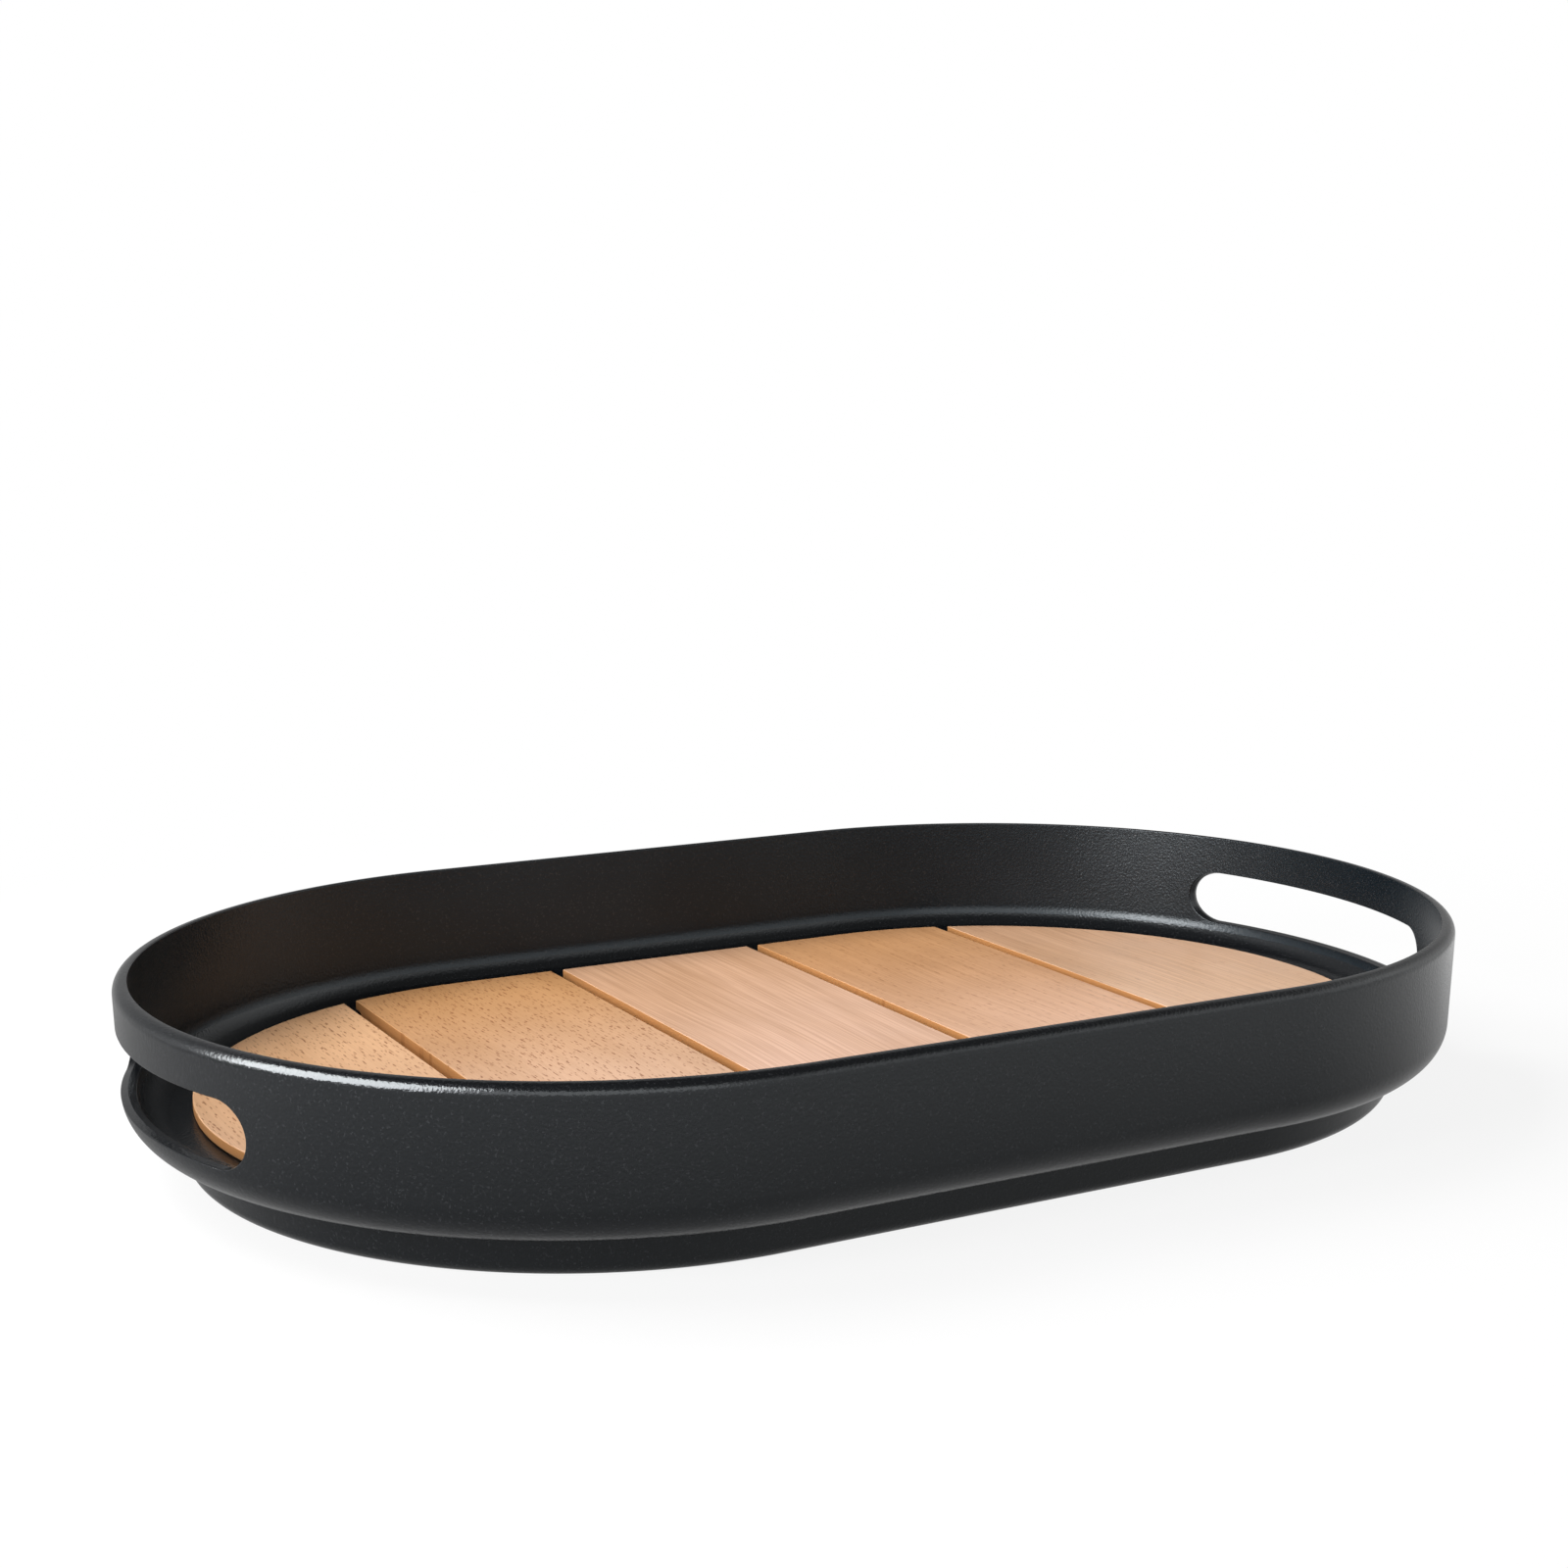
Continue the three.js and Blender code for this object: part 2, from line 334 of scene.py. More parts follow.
@dataclass(frozen=True)
class Oval:
    """The tray's plan: two half rounds joined by straight sides.

    Attributes:
        half_straight: half the length of a straight side.
        rim_radius: radius of the round ends at the rim.
        rim_height: height of the rim.
        steps: number of flats in a half round.
    """

    half_straight: float
    rim_radius: float
    rim_height: float
    steps: int = 144

    @classmethod
    def from_frame(cls) -> "Oval":
        """Read the plan from the frame's shell.

        Returns:
            The plan of the shell's outside.
        """
        high = node_box("tray_shell")[1]
        return cls(half_straight=high.x - high.y, rim_radius=high.y, rim_height=high.z)

    def radius_at(self, point: Vector) -> float:
        """Give the distance of a point in metres from the plan's middle line, in millimetres."""
        return math.hypot(max(abs(point.x) / MM - self.half_straight, 0.0), point.y / MM)

    def carry_round(self, name: str, section: list[Corner]) -> bpy.types.Object:
        """Carry a section once round the plan and close its two ends with flat faces.

        Args:
            name: the name of the piece.
            section: the section's corners, from the underside to the top.

        Returns:
            The closed solid.
        """
        straight = self.half_straight * MM
        piece = draw_section(name, section, lambda c: Vector((self.half_straight, -c.radius, c.height)))
        for side in (1, -1):
            centre = (side * straight, 0, 0)
            bpy.ops.mesh.spin(steps=self.steps, angle=-math.pi, center=centre, axis=(0, 0, 1))
            bpy.ops.mesh.extrude_region_move(
                TRANSFORM_OT_translate={"value": (-side * 2 * straight, 0, 0)})
        merge_points()
        for end in (section[0], section[-1]):
            def on_ring(vertex: bmesh.types.BMVert) -> bool:
                """Say whether a vertex lies on the section's end."""
                return near(vertex.co.z / MM, end.height) and near(self.radius_at(vertex.co), end.radius)
            pick(Element.EDGE, lambda edge: all(on_ring(vertex) for vertex in edge.verts))
            bpy.ops.mesh.edge_face_add()
        bpy.ops.object.mode_set(mode="OBJECT")
        close_up(piece)
        return piece


class Wiring:
    """A shader node tree with short ways to add and join its nodes."""

    def __init__(self, tree: bpy.types.NodeTree) -> None:
        """Hold a node tree."""
        self.tree = tree

    def add(self, kind: str, inputs: dict[str | int, Any] | None = None, **settings: Any) -> bpy.types.Node:
        """Add a node.

        Args:
            kind: the node's type, without ShaderNode in front.
            inputs: a value or another node's output for each input, by its name or number.
            settings: the node's own settings.

        Returns:
            The new node.
        """
        node = self.tree.nodes.new("ShaderNode" + kind)
        for name, value in settings.items():
            setattr(node, name, value)
        for key, value in (inputs or {}).items():
            self.feed(node.inputs[key], value)
        return node

    def feed(self, socket: bpy.types.NodeSocket, value: Any) -> None:
        """Give an input a value, or join another node's output to it.

        Args:
            socket: the input.
            value: a number, a colour, a vector or an output.
        """
        if isinstance(value, bpy.types.NodeSocket):
            self.tree.links.new(value, socket)
        elif socket.type == "RGBA" and len(value) == 3:
            socket.default_value = (*value, 1.0)
        else:
            socket.default_value = value

    def math(self, operation: str, *values: Any) -> bpy.types.NodeSocket:
        """Add a Math node with its inputs in order, and give its result."""
        return self.add("Math", dict(enumerate(values)), operation=operation).outputs[0]

    def mark(self, name: str) -> bpy.types.NodeSocket:
        """Read a mark on the piece's faces, 0 or 1."""
        return self.add("Attribute", attribute_type="GEOMETRY", attribute_name=name).outputs["Fac"]

    def ramp(self, value: Any, low: float, high: float, to_low: Any = 0.0,
             to_high: Any = 1.0) -> bpy.types.NodeSocket:
        """Take a value smoothly from one range to another.

        Args:
            value: the value.
            low: where the ramp starts.
            high: where the ramp ends.
            to_low: the result at the start.
            to_high: the result at the end.

        Returns:
            The result.
        """
        node = self.add("MapRange", {0: value, 1: low, 2: high, 3: to_low, 4: to_high},
                        interpolation_type="SMOOTHSTEP")
        return node.outputs[0]

    def mix(self, share: Any, first: Any, second: Any, blend: Blend = Blend.MIX) -> bpy.types.NodeSocket:
        """Mix two colours.

        Args:
            share: the share of the second colour.
            first: the first colour.
            second: the second colour.
            blend: how they are put together.

        Returns:
            The mixed colour.
        """
        node = self.add("Mix", data_type="RGBA", blend_type=blend.value)
        self.feed(node.inputs[0], share)
        self.feed(node.inputs[6], first)
        self.feed(node.inputs[7], second)
        return node.outputs[2]

    def noise(self, vector: Any, per_metre: float, detail: float = 2.0,
              roughness: float = 0.5) -> bpy.types.NodeSocket:
        """Add a Noise texture.

        Args:
            vector: the coordinates it is read at.
            per_metre: how many grains fit in a metre.
            detail: the number of finer layers.
            roughness: how strong the finer layers are.

        Returns:
            The noise, between 0 and 1.
        """
        inputs = {"Vector": vector, "Scale": per_metre, "Detail": detail, "Roughness": roughness}
        return self.add("TexNoise", inputs).outputs["Fac"]

    def stretch(self, vector: Any, scale: Triple,
                offset: Triple = (0.0, 0.0, 0.0)) -> bpy.types.NodeSocket:
        """Scale and shift coordinates.

        Args:
            vector: the coordinates.
            scale: the factor on each axis.
            offset: the shift that follows.

        Returns:
            The new coordinates.
        """
        node = self.add("VectorMath", {0: vector, 1: scale, 2: offset}, operation="MULTIPLY_ADD")
        return node.outputs[0]

    def emboss(self, shader: bpy.types.Node, height: Any, strength: float, depth: float) -> None:
        """Raise and sink a shader's surface.

        Args:
            shader: the material's shader.
            height: the height at each place, between 0 and 1.
            strength: how much of it shows.
            depth: the depth that a height of 1 stands for, in millimetres.
        """
        bump = self.add("Bump", {"Strength": strength, "Distance": depth * MM, "Height": height})
        self.feed(shader.inputs["Normal"], bump.outputs[0])


def new_group(name: str, inputs: dict[str, str], outputs: dict[str, str]) -> tuple[Wiring, Any, Any]:
    """Start a shader node group.

    Args:
        name: the group's name.
        inputs: each input's name and socket type.
        outputs: each output's name and socket type.

    Returns:
        The group's wiring, its input sockets and its output sockets.
    """
    tree = bpy.data.node_groups.new(name, "ShaderNodeTree")
    for label, kind in inputs.items():
        tree.interface.new_socket(label, in_out="INPUT", socket_type="NodeSocket" + kind)
    for label, kind in outputs.items():
        tree.interface.new_socket(label, in_out="OUTPUT", socket_type="NodeSocket" + kind)
    entry = tree.nodes.new("NodeGroupInput")
    leave = tree.nodes.new("NodeGroupOutput")
    return Wiring(tree), entry.outputs, leave.inputs


class Effects:
    """The effects that several finishes share, each a node group that is built once."""

    def __init__(self) -> None:
        """Build every group."""
        self.handling = self.build_handling()
        self.grain = self.build_grain()

    @staticmethod
    def build_handling() -> bpy.types.NodeTree:
        """Build the roughness of a surface that hands and cloths have rubbed.

        Returns:
            The group, with a roughness and a mask of the rubbed places.
        """
        wiring, entry, leave = new_group(
            "handling_marks",
            {"Vector": "Vector", "Size": "Float", "Smooth": "Float", "Dull": "Float"},
            {"Roughness": "Float", "Mask": "Float"},
        )
        broad = wiring.noise(entry["Vector"], entry["Size"], detail=3.0, roughness=0.55)
        mask = wiring.ramp(broad, low=0.35, high=0.68)
        span = wiring.math("SUBTRACT", entry["Dull"], entry["Smooth"])
        wiring.feed(leave["Roughness"], wiring.math("MULTIPLY_ADD", mask, span, entry["Smooth"]))
        wiring.feed(leave["Mask"], mask)
        return wiring.tree

    @staticmethod
    def build_grain() -> bpy.types.NodeTree:
        """Build beech with its grain along Y: soft tones, fine streaks and short dark dashes.

        Returns:
            The group, with a colour and a height.
        """
        wiring, entry, leave = new_group(
            "beech_grain",
            {"Vector": "Vector", "Pale": "Color", "Warm": "Color", "Dash": "Color", "Sawn With Gap Shade": "Color",
             "Sawn Share": "Float", "Dash Share": "Float", "Dash Strength": "Float", "Streaks": "Float"},
            {"Colour": "Color", "Height": "Float"},
        )
        # The grain sways a few millimetres from side to side along a slat.
        sway = wiring.noise(entry["Vector"], per_metre=9.0, detail=1.0)
        sideways = wiring.add("CombineXYZ", {0: wiring.math("MULTIPLY_ADD", sway, 0.008, -0.004)})
        bent = wiring.add("VectorMath", {0: entry["Vector"], 1: sideways.outputs[0]},
                          operation="ADD").outputs[0]
        # The ground's tone is part narrow bands and part broad patches.
        bands = wiring.noise(wiring.stretch(bent, (1.0, 0.06, 1.0)), per_metre=110.0)
        patches = wiring.noise(wiring.stretch(bent, (1.0, 0.5, 1.0)), per_metre=22.0)
        tone = wiring.math("ADD", wiring.math("MULTIPLY", bands, 0.3), wiring.math("MULTIPLY", patches, 0.7))
        ground = wiring.mix(wiring.ramp(tone, low=0.36, high=0.66), entry["Pale"], entry["Warm"])
        # Fine streaks lighten and darken it.
        lines = wiring.noise(wiring.stretch(bent, (1.0, 0.010, 1.0)), per_metre=2000.0, detail=1.0)
        bright = (1.1, 1.1, 1.1)
        dim = (0.82, 0.77, 0.72)
        shade = wiring.mix(wiring.ramp(lines, low=0.34, high=0.66), bright, dim)
        streaked = wiring.mix(entry["Streaks"], ground, shade, Blend.MULTIPLY)
        # The dashes lie in two layers, the second shifted so that they don't line up.
        aside = wiring.stretch(bent, (1.0, 1.0, 1.0), offset=(0.37, 0.71, 0.0))
        long_dashes = Effects.dash_layer(wiring, bent, (330.0, 165.0), entry["Dash Share"])
        short_dashes = Effects.dash_layer(wiring, aside, (520.0, 250.0), entry["Dash Share"])
        dashes = wiring.math("MAXIMUM", long_dashes, short_dashes)
        dark = wiring.math("MULTIPLY", dashes, entry["Dash Strength"])
        dashed = wiring.mix(dark, streaked, entry["Dash"])
        # They are fainter on the upright faces, whose colour is partly painted shade between the slats.
        sawn_with_gap_shade = wiring.mix(wiring.math("MULTIPLY", dashes, 0.4), entry["Sawn With Gap Shade"], entry["Dash"])
        wiring.feed(leave["Colour"], wiring.mix(entry["Sawn Share"], dashed, sawn_with_gap_shade))
        # The dashes are pores, so they are sunk, and the streaks stand up a little.
        sunk = wiring.math("MULTIPLY", dashes, -1.0)
        wiring.feed(leave["Height"], wiring.math("MULTIPLY_ADD", lines, 0.35, sunk))
        return wiring.tree

    @staticmethod
    def dash_layer(wiring: Wiring, place: Any, cells: tuple[float, float],
                   share: Any) -> bpy.types.NodeSocket:
        """Scatter short dashes along Y, one to a cell.

        Args:
            wiring: the wiring that they are added to.
            place: the coordinates.
            cells: number of cells in a metre across and along the grain.
            share: the share of cells that have a dash.

        Returns:
            The depth of the dashes, from 0 to 1.
        """
        grid = wiring.stretch(place, (*cells, 0.0))
        voronoi = wiring.add("TexVoronoi", {"Vector": grid, "Scale": 1.0}, voronoi_dimensions="2D")
        chance = wiring.add("SeparateColor", {0: voronoi.outputs["Color"]}).outputs
        away = wiring.add("VectorMath", {0: grid, 1: voronoi.outputs["Position"]}, operation="SUBTRACT")
        across = wiring.add("SeparateXYZ", {0: away.outputs[0]}).outputs
        # A dash reaches about a tenth of a cell to either side, and 0.16 to 0.40 of one along the grain.
        width = wiring.math("MULTIPLY", across[0], 11.0)
        length = wiring.math("DIVIDE", across[1], wiring.math("MULTIPLY_ADD", chance[1], 0.24, 0.16))
        spread = wiring.math("ADD", wiring.math("MULTIPLY", width, width),
                             wiring.math("MULTIPLY", length, length))
        present = wiring.math("LESS_THAN", chance[0], share)
        depth = wiring.math("MULTIPLY_ADD", chance[2], 0.5, 0.5)
        body = wiring.ramp(spread, low=0.35, high=1.0, to_low=1.0, to_high=0.0)
        return wiring.math("MULTIPLY", wiring.math("MULTIPLY", body, present), depth)


def new_material(name: str) -> tuple[bpy.types.Material, Wiring, bpy.types.Node, bpy.types.NodeSocket]:
    """Start a material around a Principled shader.

    Args:
        name: the material's name.

    Returns:
        The material, its wiring, its shader and the piece's own coordinates.
    """
    material = bpy.data.materials.new(name)
    material.use_nodes = True
    wiring = Wiring(material.node_tree)
    shader = material.node_tree.nodes["Principled BSDF"]
    place = wiring.add("TexCoord").outputs["Object"]
    return material, wiring, shader, place


def use_group(wiring: Wiring, group: bpy.types.NodeTree, inputs: dict[str, Any]) -> Any:
    """Place a shared effect in a material.

    Args:
        wiring: the material's wiring.
        group: the effect.
        inputs: the values that it takes here.

    Returns:
        The effect's outputs.
    """
    node = wiring.add("Group", node_tree=group)
    for label, value in inputs.items():
        wiring.feed(node.inputs[label], value)
    return node.outputs


@dataclass(frozen=True)
class MelamineFinish:
    """Black moulding compound with the fine sandblasted skin of its mould.

    Attributes:
        base: the colour of the compound.
        inside: its colour on the inside of the wall, painted bluer than outside to cancel the warm
            reflection of the beech there.
        speck: the colour of the paler dust in it.
        smooth: roughness where it has been handled.
        dull: roughness elsewhere.
        inside_more: roughness that the inside of the wall has on top.
        gloss: strength of its reflections.
        tint: the colour of its reflections.
        skin_grains: grains of the mould's skin in a metre.
        skin_depth: depth of that skin.
        dust_grains: grains of dust in a metre.
        patches: rubbed patches in a metre.
    """

    base: Triple = (0.0034, 0.0039, 0.0049)
    inside: Triple = (0.0004, 0.0040, 0.0074)
    speck: Triple = (0.018, 0.019, 0.021)
    smooth: float = 0.17
    dull: float = 0.235
    inside_more: float = 0.12
    gloss: float = 0.40
    tint: Triple = (0.92, 0.97, 1.0)
    skin_grains: float = 1250.0
    skin_depth: float = 0.09
    dust_grains: float = 1350.0
    patches: float = 14.0

    def material(self, effects: Effects) -> bpy.types.Material:
        """Build the finish.

        Args:
            effects: the shared effects.

        Returns:
            The material.
        """
        material, wiring, shader, place = new_material("black_melamine_skin")
        marks = use_group(wiring, effects.handling,
                          {"Vector": place, "Size": self.patches, "Smooth": self.smooth, "Dull": self.dull})
        skin = wiring.noise(place, self.skin_grains, detail=1.0)
        dust = wiring.noise(place, self.dust_grains, detail=1.0, roughness=0.6)
        inside = wiring.mark(INSIDE)
        # The inside of the wall is painted a bluer black, which cancels the warm reflection of the beech in
        # it; the compound itself is the same all through.
        compound = wiring.mix(inside, self.base, self.inside)
        specks = wiring.ramp(dust, low=0.58, high=0.76)
        wiring.feed(shader.inputs["Base Color"], wiring.mix(specks, compound, self.speck))
        more = wiring.math("MULTIPLY", inside, self.inside_more)
        wiring.feed(shader.inputs["Roughness"], wiring.math("ADD", marks["Roughness"], more))
        shader.inputs["Specular IOR Level"].default_value = self.gloss
        shader.inputs["Specular Tint"].default_value = (*self.tint, 1.0)
        wiring.emboss(shader, skin, strength=1.0, depth=self.skin_depth)
        return material


@dataclass(frozen=True)
class BeechFinish:
    """Steamed beech with its grain across the tray.

    Attributes:
        name: the material's name.
        seed: where in the timber the piece was cut, in metres.
        front_tone_and_light: the ground's colour at the slat's front end: its own tone with painted light,
            mostly a paler, bluer painted sheen.
        rear_tone_and_light: the ground's colour at its rear end: its own tone with painted shade, darker and
            more golden where the rear wall shades it.
        pale: what that colour is multiplied by in pale places.
        warm: what it is multiplied by in warm places.
        dash: the colour of the dashes.
        sawn_with_gap_shade: the colour of the upright saw-cut faces and edges: the darker cut grain, made
            darker and more saturated by painted shade between the slats.
        dash_share: the share of places that have a dash.
        dash_strength: how dark the dashes are.
        streaks: how strong the fine streaks are.
        smooth: roughness of the polished grain.
        dull: roughness of the open grain.
        gloss: strength of the oil's reflections.
        patches: rubbed patches in a metre.
        half_length: distance from the tray's middle to a slat's ends, in metres.
        along: the axis that the grain follows.
    """

    name: str
    seed: Triple
    front_tone_and_light: Triple = (0.62, 0.356, 0.19)
    rear_tone_and_light: Triple = (0.64, 0.377, 0.20)
    pale: Triple = (1.05, 1.05, 1.06)
    warm: Triple = (0.94, 0.91, 0.86)
    dash: Triple = (0.20, 0.052, 0.011)
    sawn_with_gap_shade: Triple = (0.49, 0.23, 0.085)
    dash_share: float = 0.75
    dash_strength: float = 0.85
    streaks: float = 0.3
    smooth: float = 0.28
    dull: float = 0.38
    gloss: float = 0.45
    patches: float = 30.0
    half_length: float = 0.11
    along: Axis = Axis.ACROSS

    def material(self, effects: Effects) -> bpy.types.Material:
        """Build the finish.

        Args:
            effects: the shared effects.

        Returns:
            The material.
        """
        material, wiring, shader, place = new_material(self.name)
        turn = (0.0, 0.0, self.along.value)
        cut = wiring.add("Mapping", {"Vector": place, "Location": self.seed, "Rotation": turn}).outputs[0]
        # The ground runs from the front colour to the rear colour along Y. Besides each slat's own tone this
        # is painted light: a painted sheen towards the front and painted shade by the rear wall, turned
        # round on the first slat to make up for its shade there.
        backwards = wiring.add("SeparateXYZ", {0: place}).outputs[1]
        ground = wiring.mix(wiring.ramp(backwards, -self.half_length, self.half_length),
                            self.front_tone_and_light, self.rear_tone_and_light)
        grain = use_group(wiring, effects.grain, {
            "Vector": cut, "Dash": self.dash, "Sawn With Gap Shade": self.sawn_with_gap_shade, "Sawn Share": wiring.mark(SAWN),
            "Pale": wiring.mix(1.0, ground, self.pale, Blend.MULTIPLY),
            "Warm": wiring.mix(1.0, ground, self.warm, Blend.MULTIPLY),
            "Dash Share": self.dash_share, "Dash Strength": self.dash_strength, "Streaks": self.streaks})
        marks = use_group(wiring, effects.handling,
                          {"Vector": cut, "Size": self.patches, "Smooth": self.smooth, "Dull": self.dull})
        wiring.feed(shader.inputs["Base Color"], grain["Colour"])
        wiring.feed(shader.inputs["Roughness"], marks["Roughness"])
        shader.inputs["Specular IOR Level"].default_value = self.gloss
        wiring.emboss(shader, grain["Height"], strength=0.35, depth=0.02)
        return material


@dataclass(frozen=True)
class ScrewFinish:
    """Zinc-plated steel.

    Attributes:
        bright: the plating's colour.
        cloudy: its colour where it has gone dull.
        smooth: roughness of the bright places.
        dull: roughness of the dull ones.
        patches: dull patches in a metre.
        grains: grains of the plating in a metre.
    """

    bright: Triple = (0.62, 0.63, 0.62)
    cloudy: Triple = (0.46, 0.46, 0.44)
    smooth: float = 0.24
    dull: float = 0.42
    patches: float = 700.0
    grains: float = 4000.0

    def material(self, effects: Effects) -> bpy.types.Material:
        """Build the finish.

        Args:
            effects: the shared effects.

        Returns:
            The material.
        """
        material, wiring, shader, place = new_material("zinc_plating")
        marks = use_group(wiring, effects.handling,
                          {"Vector": place, "Size": self.patches, "Smooth": self.smooth, "Dull": self.dull})
        wiring.feed(shader.inputs["Base Color"], wiring.mix(marks["Mask"], self.bright, self.cloudy))
        wiring.feed(shader.inputs["Roughness"], marks["Roughness"])
        shader.inputs["Metallic"].default_value = 1.0
        wiring.emboss(shader, wiring.noise(place, self.grains), strength=0.5, depth=0.01)
        return material


@dataclass
class Shell:
    """The black moulding: foot, ledge, corner, wall and rim, with a hand slot through each end.

    Attributes:
        plan: the outline at the rim.
        wall: thickness of the wall.
        draft: how far the wall leans out between its corner and the rim.
        rim_outside: rounding of the rim's outer edge.
        rim_inside: rounding of the rim's inner edge.
        corner_outside: rounding between the wall and the ledge, outside.
        corner_inside: rounding between the wall and the ledge, inside.
        ledge_top: height of the ledge that the board rests on.
        ledge: thickness of the ledge.
        ledge_edge: rounding of the ledge's inner edge.
        foot_inset: how far the foot's top stands in from the rim.
        foot_draft: how far the foot leans in.
        foot_wall: thickness of the foot.
        foot_edge: rounding of the foot's lower edge.
        crease: rounding where the foot meets the ledge.
        ring_width: width of the ring that the tray stands on.
        ring_depth: depth of the hollow inside that ring.
        ring_edge: rounding of the ring's inner edge.
        floor: thickness of the floor.
        floor_corner: rounding between the foot and the floor, inside.
        slot_length: length of a hand slot.
        slot_height: height of a hand slot.
        slot_bottom: height of a hand slot's sill.
        slot_stretch: how much longer than half its height a slot's round end is.
        slot_outside: rounding of the slot's outer edge.
        slot_inside: rounding of the slot's inner edge.
        slot_flare: how far the slot opens from the mould's seam, in its middle, to each face.
        slot_turn: how far the slot's ends turn with the wall, where 1 is square to it.
        slot_steps: number of flats in a slot's two round ends.
        slot_cuts: number of cuts along a slot, which let it follow the wall.
        slot_clear: how far what cuts a slot stands out on each side of the wall.
        bend: the sharpest bend that is shaded smooth, in degrees.
    """

    plan: Oval
    wall: float = 4.2
    draft: float = 1.1
    rim_outside: float = 3.2
    rim_inside: float = 0.45
    corner_outside: float = 11.5
    corner_inside: float = 8.3
    ledge_top: float = 14.8
    ledge: float = 3.0
    ledge_edge: float = 1.0
    foot_inset: float = 16.4
    foot_draft: float = 1.4
    foot_wall: float = 6.9
    foot_edge: float = 3.5
    crease: float = 1.0
    ring_width: float = 9.0
    ring_depth: float = 0.8
    ring_edge: float = 0.4
    floor: float = 2.6
    floor_corner: float = 2.5
    slot_length: float = 114.4
    slot_height: float = 17.2
    slot_bottom: float = 22.6
    slot_stretch: float = 1.1
    slot_outside: float = 0.6
    slot_inside: float = 0.35
    slot_flare: float = 0.45
    slot_turn: float = 0.6
    slot_steps: int = 48
    slot_cuts: int = 31
    slot_clear: float = 4.0
    bend: float = 12.0

    def section(self) -> list[Corner]:
        """Give the corners of the moulding's section, from the hollow under it round to the floor.

        Returns:
            The corners in order.
        """
        rim = self.plan.rim_radius
        rim_height = self.plan.rim_height
        ledge_bottom = self.ledge_top - self.ledge
        outer_foot = self.wall_radius(ledge_bottom)
        inner_rim = rim - self.wall
        inner_foot = self.wall_radius(self.ledge_top) - self.wall
        foot_top = rim - self.foot_inset
        foot = foot_top - self.foot_draft
        hollow = foot - self.ring_width
        floor_top = self.ring_depth + self.floor
        return [
            Corner(hollow - self.ring_depth, self.ring_depth),
            Corner(hollow, 0.0, self.ring_edge, 4),
            Corner(foot, 0.0, self.foot_edge, 10),
            Corner(foot_top, ledge_bottom, self.crease, 9),
            Corner(outer_foot, ledge_bottom, self.corner_outside, 20),
            Corner(rim, rim_height, self.rim_outside, 12),
            Corner(inner_rim, rim_height, self.rim_inside, 10),
            Corner(inner_foot, self.ledge_top, self.corner_inside, 16),
            Corner(foot_top - self.foot_wall, self.ledge_top, self.ledge_edge, 9),
            Corner(foot - self.foot_wall, floor_top, self.floor_corner, 9),
            Corner(foot - self.foot_wall - 2 * self.floor_corner, floor_top),
        ]

    def wall_radius(self, height: float) -> float:
        """Give the radius of the wall's outside at a height, with the wall carried on below its corner.

        Args:
            height: the height.

        Returns:
            The radius.
        """
        rim_height = self.plan.rim_height
        rise = rim_height - self.ledge_top + self.ledge - self.corner_outside
        return self.plan.rim_radius - self.draft * (rim_height - height) / rise

    def slot_cutter(self) -> bpy.types.Object:
        """Model what is cut out of the right-hand end: a bar that flares at both faces of the wall.

        Returns:
            The cutter.
        """
        middle = self.slot_bottom + self.slot_height / 2
        half = self.slot_height / 2
        mouth = half + self.slot_flare
        outside = self.plan.half_straight + self.wall_radius(middle)
        inside = outside - self.wall
        centre = (outside + inside) / 2
        clear = self.slot_clear
        section = [
            Corner(0.0, inside - clear),
            Corner(mouth + self.slot_inside, inside - clear),
            Corner(mouth + self.slot_inside, inside),
            Corner(mouth, inside, self.slot_inside, 10),
            Corner(half, centre),
            Corner(mouth, outside, self.slot_outside, 10),
            Corner(mouth + self.slot_outside, outside),
            Corner(mouth + self.slot_outside, outside + clear),
            Corner(0.0, outside + clear),
        ]
        cutter = draw_section("slot_cutter", section, lambda c: Vector((c.height, 0.0, middle + c.radius)))
        bpy.ops.mesh.spin(steps=self.slot_steps, angle=2 * math.pi, center=(0, 0, middle * MM),
                          axis=(1, 0, 0))
        merge_points()
        bpy.ops.transform.rotate(value=math.pi / self.slot_steps, orient_axis="X",
                                 center_override=(0, 0, middle * MM))
        bpy.ops.transform.resize(value=(1.0, self.slot_stretch, 1.0), center_override=(0, 0, 0))
        self.part_halves(self.slot_length / 2 - half * self.slot_stretch)
        self.follow_wall(centre)
        bpy.ops.mesh.select_all(action="SELECT")
        tilt = math.atan(self.draft / (self.plan.rim_height - self.ledge_top))
        bpy.ops.transform.rotate(value=-tilt, orient_axis="Y",
                                 center_override=(centre * MM, 0, middle * MM))
        bpy.ops.object.mode_set(mode="OBJECT")
        close_up(cutter)
        return cutter

    def part_halves(self, reach: float) -> None:
        """Pull the open spool's two halves apart and divide the long edges between them.

        Args:
            reach: how far each half moves.
        """
        for side in (1, -1):
            pick(Element.VERTEX, lambda vertex: side * vertex.co.y > TOUCH * MM)
            bpy.ops.transform.translate(value=(0, side * reach * MM, 0))
        pick(Element.EDGE, lambda edge: abs(edge.verts[0].co.y - edge.verts[1].co.y) > reach * MM)
        bpy.ops.mesh.subdivide(number_cuts=self.slot_cuts)

